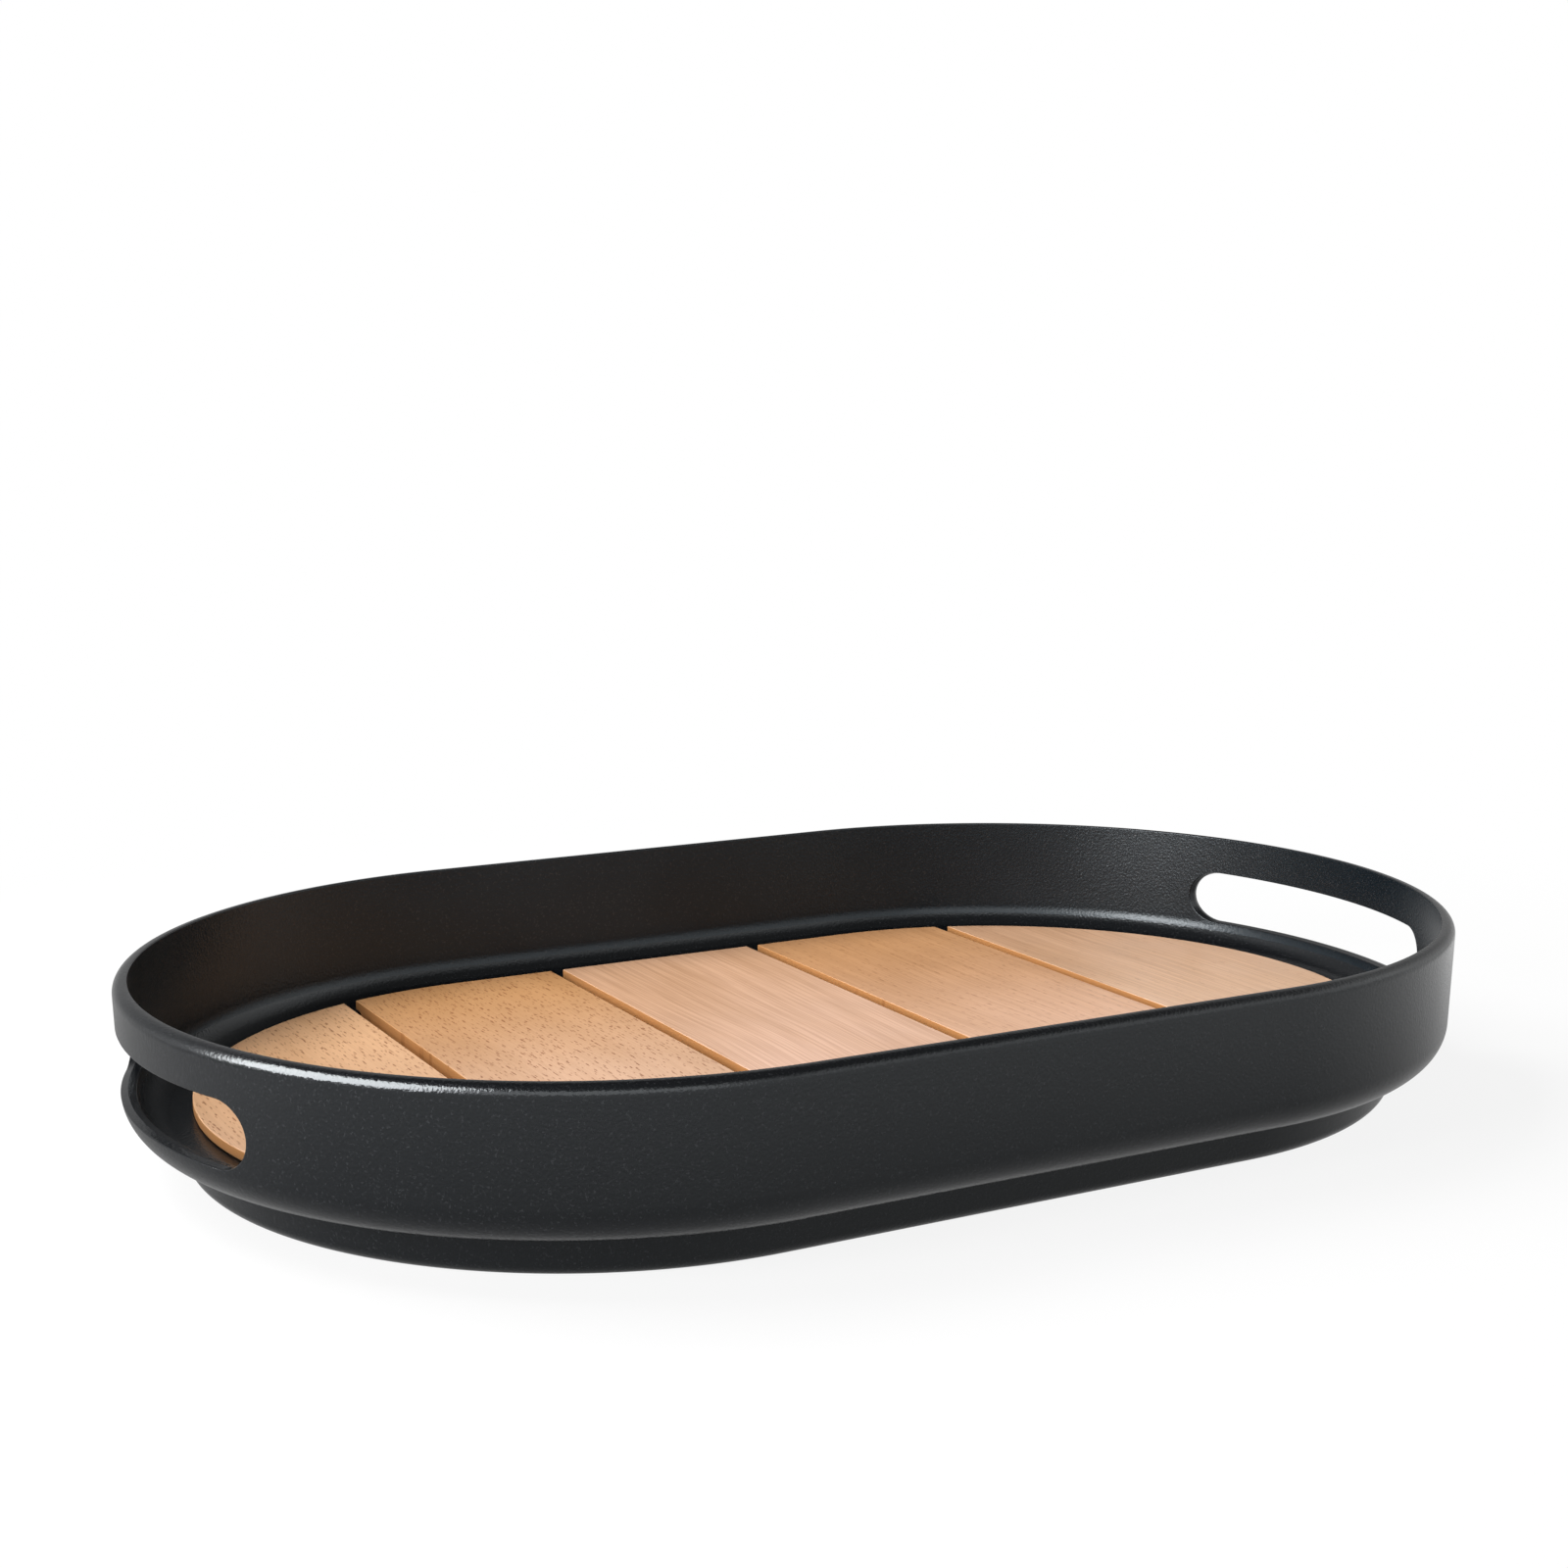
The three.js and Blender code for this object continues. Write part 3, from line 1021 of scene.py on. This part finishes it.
    def follow_wall(self, centre: float) -> None:
        """Wrap the open cutter round the tray's end, with its ends turned part of the way with the wall.

        Args:
            centre: the middle of the wall's thickness along X.
        """
        data = bpy.context.object.data
        mesh = bmesh.from_edit_mesh(data)
        middle_radius = centre - self.plan.half_straight
        for vertex in mesh.verts:
            radius = vertex.co.x / MM - self.plan.half_straight
            across = vertex.co.y / MM * (1 + self.slot_turn * (radius / middle_radius - 1))
            vertex.co.x = (self.plan.half_straight + math.sqrt(radius ** 2 - across ** 2)) * MM
            vertex.co.y = across * MM
        bmesh.update_edit_mesh(data)

    def build(self) -> bpy.types.Object:
        """Model the shell.

        Returns:
            The finished shell.
        """
        shell = self.plan.carry_round("moulded_shell", self.section())
        cutter = self.slot_cutter()
        opposite = copy_piece(cutter, "slot_cutter_left")
        with edit_mode(opposite):
            bpy.ops.mesh.select_all(action="SELECT")
            bpy.ops.transform.rotate(value=math.pi, orient_axis="Z", center_override=(0, 0, 0))
        cut_away(shell, cutter)
        cut_away(shell, opposite)
        smooth(shell, self.bend)
        mark_faces(shell, INSIDE, self.looks_inwards)
        return shell

    def looks_inwards(self, face: bpy.types.MeshPolygon) -> bool:
        """Say whether a face of the wall looks into the tray.

        Args:
            face: the face.

        Returns:
            Whether it does.
        """
        past_straight = face.center.x / MM - math.copysign(self.plan.half_straight, face.center.x)
        if abs(face.center.x) / MM < self.plan.half_straight:
            past_straight = 0.0
        outward = Vector((past_straight, face.center.y / MM, 0.0)).normalized()
        return face.normal.dot(outward) < -FACING

    def dress(self, shell: bpy.types.Object, finish: bpy.types.Material) -> None:
        """Give the shell its finish and its place in the frame."""
        shell.data.materials.append(finish)
        hand_over(shell, "tray_shell", "tray")


@dataclass
class Board:
    """The lift-out board: five beech slats on two battens, held by screws from below.

    Attributes:
        plan: the outline of the tray.
        lip_radius: radius of the lip's round ends.
        body_radius: radius of the part that drops into the recess.
        lip: thickness of the lip.
        cove: rounding under the lip.
        top_edge: rounding of the lip's upper edge.
        low_edge: rounding of the lower edges.
        cut_edge: rounding along the saw cuts between the slats.
        slats: number of slats.
        batten_end: rounding of a batten's ends.
        batten_edge: rounding of a batten's long edges.
        screw_steps: number of flats round a screw.
        screw_point: length of a screw's point.
        screw_tip: radius of the point's end.
        screw_gap: gap between a screw and its hole.
        hole_start: how far the hole's cutter starts below the screw.
        head_edge: height of the upright edge of a screw's head.
        head_recess: half length of the cross in a screw's head.
        recess_arm: half width of the cross's arms.
        recess_depth: depth of the cross.
        recess_taper: size of the cross's bottom, where its mouth is 1.
    """

    plan: Oval
    lip_radius: float = 112.0
    body_radius: float = 106.5
    lip: float = 3.0
    cove: float = 2.5
    top_edge: float = 0.35
    low_edge: float = 0.6
    cut_edge: float = 0.28
    slats: int = 5
    batten_end: float = 5.0
    batten_edge: float = 0.6
    screw_steps: int = 32
    screw_point: float = 2.0
    screw_tip: float = 0.3
    screw_gap: float = 0.15
    hole_start: float = 1.0
    head_edge: float = 0.2
    head_recess: float = 1.7
    recess_arm: float = 0.35
    recess_depth: float = 1.2
    recess_taper: float = 0.6

    def blank(self) -> bpy.types.Object:
        """Model the whole oval board, before it is cut into slats.

        Returns:
            The uncut board.
        """
        low, high = node_box("slat_1")
        lip_bottom = high.z - self.lip
        section = [
            Corner(self.body_radius - 4 * self.low_edge, low.z),
            Corner(self.body_radius, low.z, self.low_edge, 3),
            Corner(self.body_radius, lip_bottom, self.cove, 8),
            Corner(self.lip_radius, lip_bottom, self.low_edge, 4),
            Corner(self.lip_radius, high.z, self.top_edge, 4),
            Corner(self.lip_radius - 4 * self.top_edge, high.z),
        ]
        return self.plan.carry_round("board_blank", section)

    def cut_slat(self, blank: bpy.types.Object, number: int) -> bpy.types.Object:
        """Saw one slat out of the board.

        Args:
            blank: the uncut board.
            number: the slat's number, from the left.

        Returns:
            The slat.
        """
        low, high = node_box(f"slat_{number}")
        slat = copy_piece(blank, f"beech_slat_{number}")
        cuts = []
        if number > 1:
            cuts.append((low.x, -1))
        if number < self.slats:
            cuts.append((high.x, 1))
        with edit_mode(slat):
            for place, side in cuts:
                bpy.ops.mesh.select_all(action="SELECT")
                bpy.ops.mesh.bisect(plane_co=(place * MM, 0, 0), plane_no=(side, 0, 0),
                                    use_fill=True, clear_outer=True)
            pick(Element.EDGE, lambda edge: any(
                all(near(vertex.co.x / MM, place) for vertex in edge.verts) for place, _ in cuts))
            round_off(self.cut_edge, 3)
        close_up(slat)
        smooth(slat)
        # The upright faces show cut wood, and their colour is partly painted shade between the slats.
        mark_faces(slat, SAWN, lambda face: abs(face.normal.z) < UPRIGHT)
        return slat

    def batten(self, run: Run) -> bpy.types.Object:
        """Model a batten: a flat bar with round ends, eased edges and a countersink for each screw.

        Args:
            run: which of the two.

        Returns:
            The batten.
        """
        low, high = (Vector(corner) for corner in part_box(f"batten_{run.value}"))
        deselect()
        bpy.ops.mesh.primitive_cube_add(size=1.0)
        batten = start_piece(f"{run.value}_batten")
        with edit_mode(batten):
            bpy.ops.mesh.select_all(action="SELECT")
            bpy.ops.transform.resize(value=high - low, center_override=(0, 0, 0))
            bpy.ops.transform.translate(value=(low + high) / 2)
            pick(Element.EDGE, lambda edge: abs(edge.verts[0].co.z - edge.verts[1].co.z) > MM)
            round_off(self.batten_end, 10)
            pick(Element.FACE, lambda face: abs(face.normal.z) > FACING)
            bpy.ops.mesh.region_to_loop()
            round_off(self.batten_edge, 3)
        for number in range(1, self.slats + 1):
            cut_away(batten, self.spun_screw(run, number, "screw_hole", self.screw_gap, False))
        smooth(batten)
        return batten

    def spun_screw(self, run: Run, number: int, name: str, extra: float, pointed: bool) -> bpy.types.Object:
        """Turn a screw's outside about its axis, or the hole that it sits in.

        Args:
            run: the batten that it holds.
            number: the slat that it holds.
            name: the name of the piece.
            extra: how far the outside stands off the screw.
            pointed: whether it ends in a point or runs straight through.

        Returns:
            The turned solid.
        """
        low, high = node_box(f"screw_{run.value}_{number}")
        middle = (low + high) / 2
        head = (high.x - low.x) / 2
        shank = head / 2
        sink = head - shank
        start = low.z if pointed else low.z - self.hole_start
        section = [
            Corner(0.0, start),
            Corner(head + extra, start),
            Corner(head + extra, low.z + self.head_edge),
            Corner(shank + extra, low.z + self.head_edge + sink),
        ]
        if pointed:
            section += [Corner(shank, high.z - self.screw_point),
                        Corner(self.screw_tip, high.z, self.screw_tip / 3, 2), Corner(0.0, high.z)]
        else:
            section += [Corner(shank + extra, high.z), Corner(0.0, high.z)]
        piece = draw_section(name, section, lambda c: Vector((middle.x + c.radius, middle.y, c.height)))
        bpy.ops.mesh.spin(steps=self.screw_steps, angle=2 * math.pi,
                          center=(middle.x * MM, middle.y * MM, 0), axis=(0, 0, 1))
        bpy.ops.object.mode_set(mode="OBJECT")
        close_up(piece)
        return piece

    def screw(self, run: Run, number: int) -> bpy.types.Object:
        """Model a countersunk screw with a cross in its head.

        Args:
            run: the batten that it holds.
            number: the slat that it holds.

        Returns:
            The screw.
        """
        piece = self.spun_screw(run, number, f"{run.value}_screw_{number}", 0.0, True)
        low, high = node_box(f"screw_{run.value}_{number}")
        middle = (low + high) / 2
        for width, length in ((self.head_recess, self.recess_arm), (self.recess_arm, self.head_recess)):
            deselect()
            bpy.ops.mesh.primitive_cube_add(size=2.0)
            recess = start_piece("cross_cutter")
            with edit_mode(recess):
                bpy.ops.mesh.select_all(action="SELECT")
                bpy.ops.transform.resize(value=(width * MM, length * MM, self.recess_depth * MM))
                bpy.ops.transform.translate(value=(middle.x * MM, middle.y * MM, low.z * MM))
                pick(Element.FACE, lambda face: face.normal.z > FACING)
                bpy.ops.transform.resize(value=(self.recess_taper, self.recess_taper, 1.0),
                                         center_override=middle * MM)
            cut_away(piece, recess)
        smooth(piece)
        return piece

    def build(self, finishes: dict[str, bpy.types.Material]) -> None:
        """Model every piece of the board, dress it and put it in its place.

        Args:
            finishes: each finish by the name of what it goes on.
        """
        blank = self.blank()
        for number in range(1, self.slats + 1):
            slat = self.cut_slat(blank, number)
            slat.data.materials.append(finishes[f"slat_{number}"])
            hand_over(slat, f"slat_{number}", "board")
        bpy.data.objects.remove(blank)
        for run in Run:
            batten = self.batten(run)
            batten.data.materials.append(finishes["batten"])
            hand_over(batten, f"batten_{run.value}", "board")
            for number in range(1, self.slats + 1):
                screw = self.screw(run, number)
                screw.data.materials.append(finishes["screw"])
                hand_over(screw, f"screw_{run.value}_{number}", "board")


@dataclass(frozen=True)
class Softbox:
    """A flat lamp that faces the tray.

    Attributes:
        name: the lamp's name.
        azimuth: its direction, in degrees from +X.
        elevation: its height above the table, in degrees.
        distance: its distance in metres.
        width: its width in metres.
        height: its height in metres.
        power: its power in watts.
        duty: whether it lights the surfaces or shows in their reflections.
    """

    name: str
    azimuth: float
    elevation: float
    distance: float
    width: float
    height: float
    power: float
    duty: Duty

    def hang(self, moulded: bpy.types.Collection) -> None:
        """Hang the lamp in the scene.

        Args:
            moulded: the pieces that the lamp is seen in, where it only shows in reflections.
        """
        azimuth = math.radians(self.azimuth)
        elevation = math.radians(self.elevation)
        place = self.distance * Vector((math.cos(azimuth) * math.cos(elevation),
                                        math.sin(azimuth) * math.cos(elevation), math.sin(elevation)))
        lamp = bpy.data.lights.new(self.name, "AREA")
        lamp.shape = "RECTANGLE"
        lamp.size = self.width
        lamp.size_y = self.height
        lamp.energy = self.power
        holder = bpy.data.objects.new(self.name, lamp)
        holder.location = place
        holder.rotation_euler = (-place).to_track_quat("-Z", "Y").to_euler()
        holder.visible_camera = False
        holder.visible_glossy = self.duty is Duty.SHEEN
        holder.visible_diffuse = self.duty is Duty.LIGHT
        if self.duty is Duty.SHEEN:
            holder.light_linking.receiver_collection = moulded
        bpy.context.scene.collection.objects.link(holder)


@dataclass
class Studio:
    """A white table in soft light, with the camera where the tray was looked at from.

    Attributes:
        plan: the outline of the tray.
        softboxes: the lamps.
        table: width of the floor, in metres.
        paint: the floor's colour.
        ambient: how strongly the white surroundings light the object.
        ceiling: brightness of the surroundings overhead, where the walls are 1.
        ceiling_span: the heights between which the walls turn into the ceiling, in degrees.
        shade: brightness of the far wall above the table's edge, as the tray mirrors it.
        far_wall: the direction of that wall, in degrees from +X.
        far_rise: how much of that direction points up.
        far_span: how nearly a ray points at that wall where the shade starts and is full.
        far_foot: the heights between which the shade starts above the table's edge, in degrees.
        glow_near: share of pure white in the table beside the tray.
        glow_reach: distance from the tray at which the table is all white.
        mirror_painted_shadow: brightness of the table beside the tray as the tray mirrors it, dimmed there
            as a painted shadow of the tray.
        mirror_reach: distance from the tray at which that brightness is 1.
        mirror_back: brightness of the mirrored table behind the tray.
        back_span: the places along Y between which that brightness sets in, in metres.
        camera_place: where the camera stands, in metres.
        camera_back: the direction from the tray's middle to the camera.
        lens: focal length on a 36 mm frame.
    """

    plan: Oval
    softboxes: tuple[Softbox, ...] = (
        Softbox("overhead", 135.0, 52.0, 1.3, 1.0, 0.9, 22.4, Duty.LIGHT),
        Softbox("window_left", 190.0, 20.0, 1.3, 0.5, 0.5, 13.0, Duty.LIGHT),
        Softbox("panel_left", 188.0, 29.0, 0.47, 0.34, 0.24, 5.4, Duty.SHEEN),
        Softbox("panel_front", 240.0, 27.0, 1.2, 1.4, 0.5, 4.4, Duty.SHEEN),
        Softbox("panel_right", 322.0, 26.0, 2.0, 2.4, 0.7, 2.6, Duty.SHEEN),
    )
    table: float = 40.0
    paint: Triple = (0.94, 0.94, 0.94)
    ambient: float = 0.3
    ceiling: float = 0.2
    ceiling_span: tuple[float, float] = (37.0, 55.0)
    shade: float = 0.42
    far_wall: float = 72.0
    far_rise: float = 0.35
    far_span: tuple[float, float] = (0.4, 0.85)
    far_foot: tuple[float, float] = (-6.0, 4.0)
    glow_near: float = 0.88
    glow_reach: float = 320.0
    mirror_painted_shadow: float = 0.5
    mirror_reach: float = 160.0
    mirror_back: float = 0.57
    back_span: tuple[float, float] = (-0.05, 0.2)
    camera_place: Triple = (-0.33265, -0.58826, 0.20771)
    camera_back: Triple = (-0.4729, -0.8656, 0.1646)
    lens: float = 53.08

    def mirrored_share(self, wiring: Wiring) -> bpy.types.NodeSocket:
        """Tell rays that mirror the surroundings from all others.

        Args:
            wiring: the material's or world's wiring.

        Returns:
            1 on glossy and transmission rays.
        """
        path = wiring.add("LightPath").outputs
        return wiring.math("MAXIMUM", path["Is Glossy Ray"], path["Is Transmission Ray"])

    def from_tray(self, wiring: Wiring, place: Any) -> bpy.types.NodeSocket:
        """Measure how far a point of the table is from the line between the tray's round ends.

        Args:
            wiring: the table's wiring.
            place: the point's coordinates, one by one.

        Returns:
            The distance, in metres.
        """
        straight = self.plan.half_straight * MM
        past_straight = wiring.math("SUBTRACT", wiring.math("ABSOLUTE", place[0]), straight)
        along = wiring.math("MAXIMUM", past_straight, 0.0)
        square = wiring.math("MULTIPLY_ADD", along, along, wiring.math("MULTIPLY", place[1], place[1]))
        return wiring.math("SQRT", square)

    def lay_table(self) -> None:
        """Lay the white floor, which keeps the tray's soft shadow where the camera sees it and has a painted
        shadow beside the tray where the tray mirrors it.
        """
        deselect()
        bpy.ops.mesh.primitive_plane_add(size=self.table)
        floor = start_piece("table_top")
        material = bpy.data.materials.new("white_table")
        material.use_nodes = True
        wiring = Wiring(material.node_tree)
        material.node_tree.nodes.remove(material.node_tree.nodes["Principled BSDF"])
        place = wiring.add("SeparateXYZ", {0: wiring.add("TexCoord").outputs["Object"]}).outputs
        away = self.from_tray(wiring, place)
        edge = self.plan.rim_radius
        white = wiring.ramp(away, edge * MM, (edge + self.glow_reach) * MM, to_low=self.glow_near)
        # In reflections the table is a glow that is dimmer beside the tray: a painted shadow of the tray,
        # darkest at and under its rim.
        level = wiring.ramp(away, edge * MM, (edge + self.mirror_reach) * MM, to_low=self.mirror_painted_shadow)
        behind = wiring.ramp(place[1], *self.back_span, to_low=1.0, to_high=self.mirror_back)
        mirrored = self.mirrored_share(wiring)
        seen = wiring.math("MULTIPLY", wiring.add("LightPath").outputs["Is Camera Ray"], white)
        dimming = wiring.math("SUBTRACT", wiring.math("MULTIPLY", level, behind), 1.0)
        strength = wiring.math("MULTIPLY_ADD", mirrored, dimming, 1.0)
        paint = wiring.add("BsdfDiffuse", {"Color": self.paint})
        glow = wiring.add("Emission", {"Color": (1.0, 1.0, 1.0), "Strength": strength})
        share = wiring.math("MAXIMUM", seen, mirrored)
        surface = wiring.add("MixShader", {0: share, 1: paint.outputs[0], 2: glow.outputs[0]})
        wiring.feed(material.node_tree.nodes["Material Output"].inputs["Surface"], surface.outputs[0])
        floor.data.materials.append(material)

    def light(self, shell: bpy.types.Object) -> None:
        """Set the white surroundings and hang the softboxes.

        Args:
            shell: the moulded shell, the only piece that mirrors the sheen panels.
        """
        world = bpy.data.worlds.new("white_room")
        bpy.context.scene.world = world
        world.use_nodes = True
        wiring = Wiring(world.node_tree)
        background = world.node_tree.nodes["Background"]
        background.inputs["Color"].default_value = (1.0, 1.0, 1.0, 1.0)
        mirrored = self.mirrored_share(wiring)
        share = wiring.math("MAXIMUM", wiring.add("LightPath").outputs["Is Camera Ray"], mirrored)
        seen = wiring.math("MULTIPLY_ADD", share, 1.0 - self.ambient, self.ambient)
        outlook = wiring.add("TexCoord").outputs["Generated"]
        upward = wiring.add("SeparateXYZ", {0: outlook}).outputs[2]
        walls_end, ceiling_start = (math.sin(math.radians(angle)) for angle in self.ceiling_span)
        overhead = wiring.ramp(upward, walls_end, ceiling_start, to_low=1.0, to_high=self.ceiling)
        turn = math.radians(self.far_wall)
        far_wall = (math.cos(turn), math.sin(turn), self.far_rise)
        facing = wiring.add("VectorMath", {0: outlook, 1: far_wall}, operation="DOT_PRODUCT")
        towards = wiring.ramp(facing.outputs["Value"], *self.far_span)
        foot, full = (math.sin(math.radians(angle)) for angle in self.far_foot)
        above = wiring.ramp(upward, foot, full)
        unlit = wiring.math("MULTIPLY", wiring.math("MULTIPLY", towards, above), mirrored)
        dimmed = wiring.math("MULTIPLY_ADD", unlit, self.shade - 1.0, 1.0)
        strength = wiring.math("MULTIPLY", wiring.math("MULTIPLY", seen, overhead), dimmed)
        wiring.feed(background.inputs["Strength"], strength)
        moulded = bpy.data.collections.new("moulded")
        moulded.objects.link(shell)
        for softbox in self.softboxes:
            softbox.hang(moulded)

    def set_camera(self) -> None:
        """Set up the camera."""
        camera = bpy.data.cameras.new("camera")
        camera.lens = self.lens
        camera.sensor_width = FRAME_WIDTH
        camera.sensor_fit = "HORIZONTAL"
        holder = bpy.data.objects.new("camera", camera)
        holder.location = self.camera_place
        holder.rotation_euler = (-Vector(self.camera_back)).to_track_quat("-Z", "Y").to_euler()
        bpy.context.scene.collection.objects.link(holder)
        bpy.context.scene.camera = holder


def finishes(effects: Effects) -> dict[str, bpy.types.Material]:
    """Build every finish of the tray.

    Args:
        effects: the shared effects.

    Returns:
        Each finish by the name of what it goes on.
    """
    timber = {
        "slat_1": BeechFinish("beech_1", (0.31, 0.07, 0.0), (0.60, 0.37, 0.235), (0.69, 0.41, 0.22)),
        "slat_2": BeechFinish("beech_2", (1.43, 0.52, 0.1), (0.77, 0.52, 0.385), (0.54, 0.284, 0.12),
                              dash_share=0.8),
        "slat_3": BeechFinish("beech_3", (2.71, 0.18, 0.2), (0.76, 0.505, 0.39), (0.635, 0.385, 0.24),
                              dash_share=0.0, streaks=0.75),
        "slat_4": BeechFinish("beech_4", (3.12, 0.83, 0.3), (0.81, 0.52, 0.375), (0.575, 0.303, 0.137),
                              dash_share=0.35, dash_strength=0.5, streaks=0.55),
        "slat_5": BeechFinish("beech_5", (4.55, 0.36, 0.4), (0.79, 0.54, 0.375), (0.60, 0.358, 0.213),
                              dash_share=0.15, dash_strength=0.4, streaks=0.7),
        "batten": BeechFinish("bare_beech", (5.2, 0.11, 0.5), smooth=0.6, dull=0.75, along=Axis.ALONG),
    }
    made = {name: finish.material(effects) for name, finish in timber.items()}
    made["shell"] = MelamineFinish().material(effects)
    made["screw"] = ScrewFinish().material(effects)
    return made


def main() -> None:
    """Build the tray and its studio."""
    logging.basicConfig(level=logging.INFO, format="%(name)s: %(message)s")
    bpy.context.scene.view_settings.view_transform = "Standard"
    plan = Oval.from_frame()
    made = finishes(Effects())
    studio = Studio(plan)
    studio.set_camera()
    shell = Shell(plan)
    moulding = shell.build()
    shell.dress(moulding, made["shell"])
    Board(plan).build(made)
    studio.lay_table()
    studio.light(moulding)


if __name__ == "__main__":
    main()
